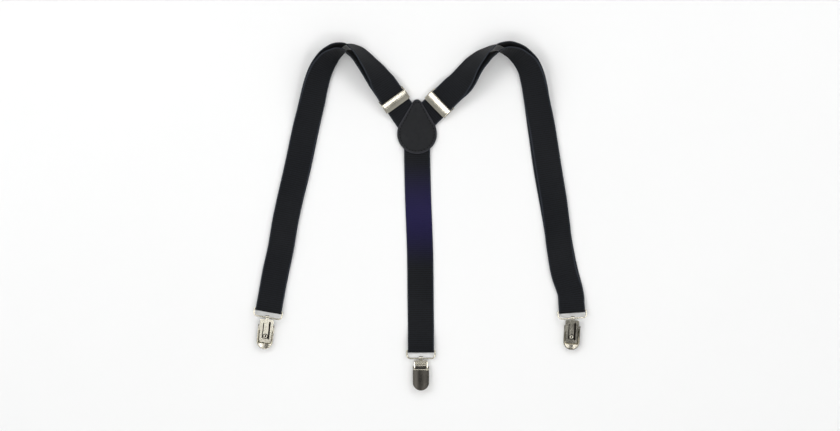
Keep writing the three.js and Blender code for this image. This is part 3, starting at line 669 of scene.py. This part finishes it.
def makePatchPiece(name, low, support, lines):
    # rings of the outline drawn in towards the middle: over the top, round the bevelled rim, and back below
    outline = teardropOutline(patchLook["around"])
    middle = patch["centre"] + home[:2] + [0, 4 * mm]
    arm = outline - middle
    size = np.linalg.norm(arm, axis=1, keepdims=True)
    thickness = patch["leather"]
    inner = (0.04, 0.2, 0.36, 0.5, 0.62, 0.72)  # rings inside the rim, as shares of the way out
    seamInset = patchLook["stitchInset"]
    rimInsets = [3.7, 3.2, 2.9, 2.6, 2.3, 2.0, 1.5, 1.0, 0.7, 0.45, 0.22, 0.06, 0.0]
    # the second list is each ring's share of the painted highlight, strongest at the outer edge and on the
    # bevel below it
    rows, rimHighlight = [], []
    for fraction in inner:
        rows.append((middle + arm * fraction * (1 - 3.9 * mm / size), thickness))
        rimHighlight.append(0.0)
    for inset in rimInsets:
        fall = 0.0 if inset > 1.0 else 0.55 * mm * (1 - inset) ** 1.6
        groove = 0.2 * mm * math.exp(-((inset - seamInset) / 0.35) ** 2)
        rows.append((outline - arm / size * inset * mm, thickness - fall - groove))
        rimHighlight.append(1.0 if inset < 0.6 else (0.45 if inset < 0.9 else (0.22 if inset < 2.2 else 0.0)))
    for inset, height in ((0.0, 0.3 * mm), (0.1, 0.12 * mm), (0.35, 0.0), (2.0, 0.0)):
        rows.append((outline - arm / size * inset * mm, height))
        rimHighlight.append(0.8 if inset < 0.3 else 0.0)
    for fraction in (0.7, 0.4, 0.04):
        rows.append((middle + arm * fraction * (1 - 3.9 * mm / size), 0.0))
        rimHighlight.append(0.0)
    flat = np.stack([r[0] for r in rows])
    height = np.stack([np.full(len(outline), r[1]) for r in rows])
    if support:
        reachOut = np.linalg.norm(flat - middle, axis=-1) / size.T
        flatTop = np.clip((0.98 - reachOut) / 0.4, 0, 1)  # the middle bridges from strap to strap
        raised = np.maximum(strapSupport(flat[..., 0], flat[..., 1], lines), smoothStep(flatTop))
        seat = patchLow[2] + patch["leather"] + 0.05 * mm
        base = seat + (low - seat) * raised
        base = base + patchLook["crown"] * (1 - np.clip(reachOut, 0, 1) ** 2)
    else:
        base = np.full(height.shape, low)
    points = np.concatenate([flat, (base + height)[..., None]], -1)
    rowCount, columns = points.shape[:2]
    ends = [points[0].mean(0), points[-1].mean(0)]
    vertices = np.vstack([points.reshape(-1, 3), ends])
    piece = newPiece(name, vertices, gridWithPoles(rowCount, columns), [hide])
    rim = np.concatenate([np.repeat(rimHighlight, columns), [0, 0]]).astype(np.float32)
    piece.data.attributes.new("rim", "FLOAT", "POINT").data.foreach_set("value", rim)
    faceOut(piece)
    return piece, points[len(inner) + rimInsets.index(seamInset)]


def ringStitches(name, ring, pitch, length, sign):
    closed = np.vstack([ring, ring[:1]])
    run = runLength(closed)
    count = int(run[-1] / pitch)
    wanted = (np.arange(count) + 0.5) * run[-1] / count
    spots = pointsAt(wanted, run, closed)
    directions = unit(pointsAt((wanted + 0.3 * mm) % run[-1], run, closed) - spots)
    spots = spots + up * sign * 0.12 * mm
    return makeStitches(name, [(spots, directions)], up * sign, length, 0.42 * mm)


def cutInto(mesh, name, cutters):
    # takes closed shapes out of a mesh; the cut faces keep the cutters' material
    piece = addPiece(name, mesh)
    for cutter in cutters:
        cut = piece.modifiers.new("cut", "BOOLEAN")
        cut.object = cutter
        cut.operation = "DIFFERENCE"
        cut.solver = "EXACT"
    graph = bpy.context.evaluated_depsgraph_get()
    result = bpy.data.meshes.new_from_object(piece.evaluated_get(graph))
    for made in (piece, *cutters):
        bpy.data.objects.remove(made)
    return result


def dressNode(node, finish, edge=0.13 * mm, sharp=32, cutters=(), other=None, choose=None):
    # a finished copy of a stamped part: flat faces joined, real edges rounded over, curves shaded smooth
    source = frame["nodes"][node]
    mesh = source.data.copy()
    mesh.materials.clear()
    mesh.materials.append(finish)
    work = bmesh.new()
    work.from_mesh(mesh)
    bmesh.ops.remove_doubles(work, verts=work.verts, dist=2e-6)
    bmesh.ops.dissolve_limit(work, angle_limit=math.radians(0.05), verts=work.verts, edges=work.edges)
    work.to_mesh(mesh)
    work.free()
    mesh.polygons.foreach_set("material_index", np.zeros(len(mesh.polygons), np.int32))
    if cutters:
        mesh.materials.append(paintedShadeNickel)
        mesh = cutInto(mesh, node + "_cut", cutters)
    piece = addPiece(node + "_finished", mesh)
    bevel = piece.modifiers.new("rounded_edges", "BEVEL")
    bevel.width = edge
    bevel.segments = 2
    bevel.limit_method = "ANGLE"
    bevel.angle_limit = math.radians(sharp)
    piece.data.shade_smooth()
    level = piece.modifiers.new("flat_faces", "WEIGHTED_NORMAL")
    level.weight = 100
    graph = bpy.context.evaluated_depsgraph_get()
    rounded = bpy.data.meshes.new_from_object(piece.evaluated_get(graph))
    piece.modifiers.clear()
    piece.data = rounded
    if choose:
        centres = np.empty(len(rounded.polygons) * 3)
        rounded.polygons.foreach_get("center", centres)
        normals = np.empty(len(rounded.polygons) * 3)
        rounded.polygons.foreach_get("normal", normals)
        index = np.empty(len(rounded.polygons), np.int32)
        rounded.polygons.foreach_get("material_index", index)
        rounded.materials.append(other)
        picked = choose(centres.reshape(-1, 3), normals.reshape(-1, 3))
        index = np.where(picked, len(rounded.materials) - 1, index).astype(np.int32)
        rounded.polygons.foreach_set("material_index", index)
    return piece


clipShape = {
    "jawY": -4.9, "jawZ": 0.3, "leverY": -8.6, "leverZ": 2.4,  # mm, the two hinges in the clip's own frame
    "back": -1.6, "grooveDepth": 0.5, "rivetY": -17.9,
    # pressed grooves in the back plate: x, y at both ends, width
    "grooves": [(2.9, -5.9, -19.5, 0.9), (-3.0, -4.6, -20.0, 1.7)],
    "eyelet": [  # radius and depth: bore, rolled flange, down the stem, inner flange
        (0.0, -1.2), (0.75, -1.2), (0.8, -1.9), (0.95, -2.14), (1.2, -2.25), (1.45, -2.25), (1.7, -2.14),
        (1.85, -1.95), (1.82, -1.86), (1.25, -1.8), (1.25, -0.05), (2.2, -0.05), (2.2, 0.25), (0.0, 0.25),
    ],
    "eyeletDark": [0, 7, 8, 11],  # its rings of faces painted dark as shade: the bore and under the flanges
    "recess": 2.62, "recessTop": -1.98,  # radius of the sunk ring round the rivet, and the height below it
    # the lever's curled edge: its middle, radius, half length and rounded end
    "roll": {"y": -10.65, "z": 3.95, "radius": 0.65, "half": 7.5, "end": 0.5},
}


def clipAxes(name):
    # the clip's own frame from its two hinges: with d from jaw to lever, y is dy d - dz (x cross d), scaled
    swing = np.array(joints[name + "_clip_swing"]["pos_m"])
    jaw, lever = (np.array(joints[name + hinge]["pos_m"]) for hinge in ("_jaw_hinge", "_lever_hinge"))
    dy, dz = clipShape["leverY"] - clipShape["jawY"], clipShape["leverZ"] - clipShape["jawZ"]
    best = None
    for sign in (1, -1):
        x = unit(np.array(joints[name + "_lever_hinge"]["axis"], float)) * sign
        d = lever - jaw
        d = d - x * (d @ x)
        y = unit(dy * d - dz * np.cross(x, d))
        z = np.cross(x, y)
        origin = jaw - y * clipShape["jawY"] * mm - z * clipShape["jawZ"] * mm
        miss = np.linalg.norm(origin - swing)
        if best is None or miss < best[0]:
            best = (miss, origin, x, y, z)
    return best[1:]


def makeGroove(name, origin, x, y, z, groove):
    # a long box with round ends, sunk into the plate's outer face
    at, high, low, width = groove
    turn = np.linspace(0, math.pi, 9)
    ring = np.concatenate([np.stack([at + width / 2 * np.cos(turn), high + width / 2 * np.sin(turn)], 1),
                           np.stack([at - width / 2 * np.cos(turn), low - width / 2 * np.sin(turn)], 1)]) * mm
    top, bottom = (clipShape["back"] - 1.0) * mm, (clipShape["back"] + clipShape["grooveDepth"]) * mm
    points = [origin + x * ring[:, :1] + y * ring[:, 1:] + z * height for height in (top, bottom)]
    count = len(ring)
    faces = gridFaces(2, count).tolist() + [list(range(count))[::-1], list(range(count, 2 * count))]
    cutter = newPiece(name, np.vstack(points), faces, [nickel, paintedShadeNickel])
    # the groove's walls and floor take the dark copy of the nickel: painted shade
    cutter.data.polygons.foreach_set("material_index", np.ones(len(faces), np.int32))
    faceOut(cutter)
    return cutter


def makeEyelet(name):
    # a profile turned about the rivet's axis: point = centre + r cos a x + r sin a y + h z
    origin, x, y, z = clipAxes(name)
    r, h = np.array(clipShape["eyelet"]).T * mm
    centre = origin + y * clipShape["rivetY"] * mm
    turn = np.arange(40) * 2 * math.pi / 40
    ring = x * np.cos(turn)[:, None] + y * np.sin(turn)[:, None]
    body = centre + ring[None] * r[1:-1, None, None] + z * h[1:-1, None, None]
    rows, columns = body.shape[:2]
    floor, foot = centre + z * h[0], centre + z * h[-1]
    points = np.vstack([body.reshape(-1, 3), floor, foot])
    faces = gridWithPoles(rows, columns)
    piece = newPiece(name + "_clip_eyelet", points, faces, [nickel, paintedShadeNickel])
    # the bore and the faces under the flanges get painted shade
    ringOf = np.arange(len(faces)) // columns
    index = np.isin(ringOf, clipShape["eyeletDark"]).astype(np.int32)
    piece.data.polygons.foreach_set("material_index", index)
    faceOut(piece)
    return piece


def makeRoll(name):
    # the lever's curled top edge, a rod with rounded ends: point = place + u x + r cos a y + r sin a z
    origin, x, y, z = clipAxes(name)
    roll = clipShape["roll"]
    lean = np.linspace(0, math.pi / 2, 6)[:-1]
    r = np.concatenate([np.sin(lean) + 0.02, [1, 1], np.sin(lean[::-1]) + 0.02]) * roll["radius"] * mm
    end, straight = roll["end"], roll["half"] - roll["end"]
    u = np.concatenate([-straight - end * np.cos(lean), [-straight, straight],
                        straight + end * np.cos(lean[::-1])]) * mm
    turn = np.arange(24) * 2 * math.pi / 24
    ring = y * np.cos(turn)[:, None] + z * np.sin(turn)[:, None]
    place = origin + (y * roll["y"] + z * roll["z"]) * mm
    points = place + x * u[:, None, None] + ring[None] * r[:, None, None]
    rows, columns = points.shape[:2]
    ends = [list(range(columns)), list(range((rows - 1) * columns, rows * columns))]
    faces = gridFaces(rows, columns).tolist() + ends
    piece = newPiece(name + "_lever_rolled_edge", points.reshape(-1, 3), faces, [nickel])
    faceOut(piece)
    return piece


bailShape = {"wire": 0.8 * mm, "half": 13.4 * mm, "drop": 7.6 * mm, "tight": 1.2 * mm, "wide": 3.4 * mm,
             "sides": 18}


def makeBail(name):
    # a round wire carried along a rounded rectangle: straight bar above, wide bends below
    bar, x, down = bailAxes(name)
    out = np.cross(x, down)
    half, drop = bailShape["half"], bailShape["drop"]

    def corner(cx, cy, r, first):
        turn = np.radians(np.linspace(first, first + 90, 14))
        return np.stack([cx + r * np.cos(turn), cy + r * np.sin(turn)], 1)

    tight, wide = bailShape["tight"], bailShape["wide"]
    run = np.linspace(0.1, 0.9, 14)[:, None]
    corners = [corner(half - tight, -tight, tight, 0), corner(-half + tight, -tight, tight, 90),
               corner(-half + wide, -drop + wide, wide, 180), corner(half - wide, -drop + wide, wide, 270)]
    loop = []
    for i, piece in enumerate(corners):
        following = corners[(i + 1) % 4]
        loop += [piece, piece[-1] + (following[0] - piece[-1]) * run]
    loop = np.vstack(loop)
    ahead = np.roll(loop, -1, 0) - np.roll(loop, 1, 0)
    outwards = unit(np.stack([ahead[:, 1], -ahead[:, 0]], 1))
    turn = np.arange(bailShape["sides"]) * 2 * math.pi / bailShape["sides"]
    flat = loop[:, None] + outwards[:, None] * bailShape["wire"] * np.cos(turn)[None, :, None]
    lift = np.broadcast_to(bailShape["wire"] * np.sin(turn), flat.shape[:2])
    points = bar + x * flat[..., :1] - down * flat[..., 1:] + out * lift[..., None]
    faces = gridFaces(len(loop), bailShape["sides"], wrapRows=True)
    piece = newPiece(name + "_bail_wire", points.reshape(-1, 3), faces, [nickel])
    faceOut(piece)
    return piece


strapLines = {}
for name in ("left", "right"):
    strap, slack, length, lines = makeFrontStrap(name)
    strapLines[name] = lines
    tail, tailStitches = makeTail(name)
    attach(strap, "root")
    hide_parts(name + "_strap")
    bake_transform(slack)
    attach(tail, name + "_adjuster")
    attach(tailStitches, name + "_adjuster")
    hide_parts(name + "_strap_tail")
    print(name, "front strap made,", round(length * 1000), "mm of webbing")

backRoute = [  # x, y and the height of the webbing's middle, in mm
    [-2.6, 74.8, 2.05], [-2.6, 66, 2.05], [-2.5, 56, 1.85], [-2.2, 42, 0.65], [-1.6, 18, 0.55],
    [-0.6, -8, 0.55],
    [0.3, -34, 0.55], [0.8, -78, 0.55], [1.1, -105.8, 0.65], [1.1, -111.8, 1.9],
    [1.1, -118.8, 3.35], [1.1, -127.8, 3.85],
]


def makeBackStrap():
    # out from the patch, over the bail's bar, and back below as a short hem
    curve = smoothRows(np.array(backRoute) * mm, 24) + home
    bar = bailAxes("back")[0]
    flat = np.gradient(curve, axis=0)
    flat[:, 2] = 0
    across, _ = stance(unit(flat), np.zeros(len(curve)), 1)
    fold = halfTurn(bar, np.array([0.0, -1.0, 0.0]), 1)
    hem = np.array([[bar[0], bar[1] + s * mm, fold[-1][2]] for s in (2, 6, 12)])
    at = np.vstack([curve[:-1], fold, hem])
    wide = np.vstack([across[:-1], np.repeat([[-1.0, 0, 0]], len(fold) + len(hem), 0)])
    at, wide = evenly(at, wide)
    strap = sweepWebbing("back_strap_webbing", at, unit(wide), 1, [backWeave, innerWeave])
    spotY = bar[1] - 2.2 * mm + 5 * mm
    height = float(np.interp(-spotY, -curve[:, 1], curve[:, 2])) + thick / 2
    w = np.arange(-10.6, 10.7, 2.12) * mm
    spots = np.stack([bar[0] + w, np.full(len(w), spotY), np.full(len(w), height + 0.05 * mm)], 1)
    below = spots.copy()
    below[:, 2] = fold[-1][2] - thick / 2 - 0.02 * mm
    ahead = np.repeat([[1.0, 0, 0]], len(w), 0)
    seam = makeStitches("back_hem_stitches", [(spots, ahead)], up, 1.55 * mm)
    seamBelow = makeStitches("back_hem_stitches_below", [(below, ahead)], -up, 1.55 * mm)
    return strap, seam, seamBelow, np.linalg.norm(np.diff(at, axis=0), axis=1).sum()


backStrap, hemStitches, hemStitchesBelow, backLength = makeBackStrap()
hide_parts("back_strap")
for piece in (backStrap, hemStitches, hemStitchesBelow):
    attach(piece, "root")
print("back strap made,", round(backLength * 1000), "mm of webbing")

frontLow = float(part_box("patch_front")[0][2])
patchFront, seamRing = makePatchPiece("patch_front_leather", frontLow, True, strapLines)
patchBack, backRing = makePatchPiece("patch_back_leather", float(patchLow[2]), False, strapLines)
frontStitches = ringStitches("patch_stitches", seamRing,
                             patchLook["stitchPitch"], patchLook["stitch"], 1)
backRing[:, 2] = patchLow[2]
backStitches = ringStitches("patch_stitches_below", backRing,
                            patchLook["stitchPitch"], patchLook["stitch"], -1)
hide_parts("patch_front")
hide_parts("patch_back")
for piece in (patchFront, patchBack, frontStitches, backStitches):
    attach(piece, "root")
print("patch made")

for name in ("left", "right"):
    for node, body in (("adjuster_frame", "adjuster"), ("adjuster_pin", "adjuster"),
                       ("adjuster_cover", "adjuster_flap")):
        piece = dressNode(f"{name}_{node}", nickel)
        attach(piece, f"{name}_{body}")
        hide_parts(f"{name}_{node}")
for name in ("left", "right", "back"):
    origin, x, y, z = clipAxes(name)
    spot = origin + y * clipShape["rivetY"] * mm
    eyelet = makeEyelet(name)
    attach(eyelet, name + "_clip_body")
    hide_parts(name + "_clip_rivet")
    roll = makeRoll(name)
    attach(roll, name + "_lever")
    bail = makeBail(name)
    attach(bail, name + "_bail_ring")
    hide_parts(name + "_bail")
    for node, body in (("plate", "clip_body"), ("pin", "clip_body"), ("pad", "clip_body"),
                       ("lever", "lever"), ("jaw", "jaw")):
        cutters, other, choose = (), None, None
        if node == "plate":
            cutters = [makeGroove(f"groove_{i}", origin, x, y, z, groove)
                       for i, groove in enumerate(clipShape["grooves"])]
            # the sunk ring round the rivet gets painted shade
            choose = lambda centres, normals: (
                (np.linalg.norm(np.cross(centres - spot, z), axis=1) < clipShape["recess"] * mm)
                & ((centres - spot) @ z > clipShape["recessTop"] * mm))
            other = paintedShadeNickel
        if node == "lever":
            # only the lever's outer side gets the darker copy of the nickel, a painted dark reflection
            choose, other = (lambda centres, normals: normals @ z > 0.25), darkReflectionNickel
        piece = dressNode(f"{name}_clip_{node}", plastic if node == "pad" else nickel, cutters=cutters,
                          other=other, choose=choose)
        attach(piece, f"{name}_{body}")
        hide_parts(f"{name}_clip_{node}")
print("metal parts made")


setting = {"floor": "#f1f1f1", "cameraHeight": 2.6, "viewWidth": 0.802, "sensor": 36.0}


def makeFloor():
    floor = newPiece("floor", [[-3, -3, -0.0003], [3, -3, -0.0003], [3, 3, -0.0003], [-3, 3, -0.0003]],
                     [[0, 1, 2, 3]], [], False)
    paper, tree, shader = newMaterial("matt_paper")
    place = add(tree, "TexCoord")
    cloud = add(tree, "TexNoise", {"Scale": 3.0, "Detail": 2.0}, {"Vector": place.outputs["Object"]})
    colour = add(tree, "Mix", {6: linear(setting["floor"]), 7: linear("#f5f5f5")},
                 {0: cloud.outputs["Fac"]}, data_type="RGBA")
    tree.links.new(colour.outputs[2], shader.inputs["Base Color"])
    shader.inputs["Roughness"].default_value = 0.9
    floor.data.materials.append(paper)


def addSoftbox(name, place, target, size, power, colour="#ffffff"):
    light = bpy.data.lights.new(name, "AREA")
    light.shape = "RECTANGLE"
    light.size, light.size_y = size
    light.energy = power
    light.color = linear(colour)[:3]
    box = bpy.data.objects.new(name, light)
    bpy.context.collection.objects.link(box)
    box.location = place
    aim = np.array(target) - np.array(place)
    box.rotation_euler = Vector(aim).to_track_quat("-Z", "Y").to_euler()


makeFloor()
# two boxes light the buckles' upper facets, a slim one the left clip, the rest is fill
addSoftbox("buckle_softbox_left", (0.5, -0.62, 1.6), (-0.02, 0.11, 0), (0.62, 0.5), 5.0)
addSoftbox("buckle_softbox_right", (-0.62, -0.52, 1.6), (0.02, 0.11, 0), (0.62, 0.5), 5.0)
addSoftbox("left_softbox", (-1.25, 0.45, 1.35), (0, 0, 0), (0.8, 1.2), 11)
addSoftbox("right_softbox", (1.3, 0.3, 1.3), (0, 0, 0), (0.8, 1.2), 8)
addSoftbox("back_softbox", (0.1, 1.3, 1.4), (0, 0, 0), (1.8, 0.6), 10)
addSoftbox("slim_softbox", (0.245, -0.12, 1.6), (-0.15, -0.12, 0), (0.14, 0.5), 0.75)
world = bpy.data.worlds.new("soft_room")
world.use_nodes = True
# the room: a dark ceiling over pale walls, so that flat metal looks smoky and tilted metal bright
sky = world.node_tree
direction = add(sky, "SeparateXYZ", {}, {0: add(sky, "TexCoord").outputs["Generated"]})
height = add(sky, "MapRange", {1: 0.35, 2: 0.95, 3: 0.0, 4: 1.0}, {0: direction.outputs[2]})
room = add(sky, "Mix", {6: linear("#c2c3c2"), 7: linear("#383838")}, {0: height.outputs[0]},
           data_type="RGBA")
sky.links.new(room.outputs[2], sky.nodes["Background"].inputs[0])
sky.nodes["Background"].inputs[1].default_value = 1.0
bpy.context.scene.view_settings.view_transform = "Standard"
bpy.context.scene.world = world

lens = bpy.data.cameras.new("camera")
lens.sensor_width = setting["sensor"]
lens.lens = setting["cameraHeight"] * setting["sensor"] / setting["viewWidth"]
camera = bpy.data.objects.new("camera", lens)
bpy.context.collection.objects.link(camera)
camera.location = (-0.0002, 0.0007, setting["cameraHeight"])
bpy.context.scene.camera = camera
print("room made")
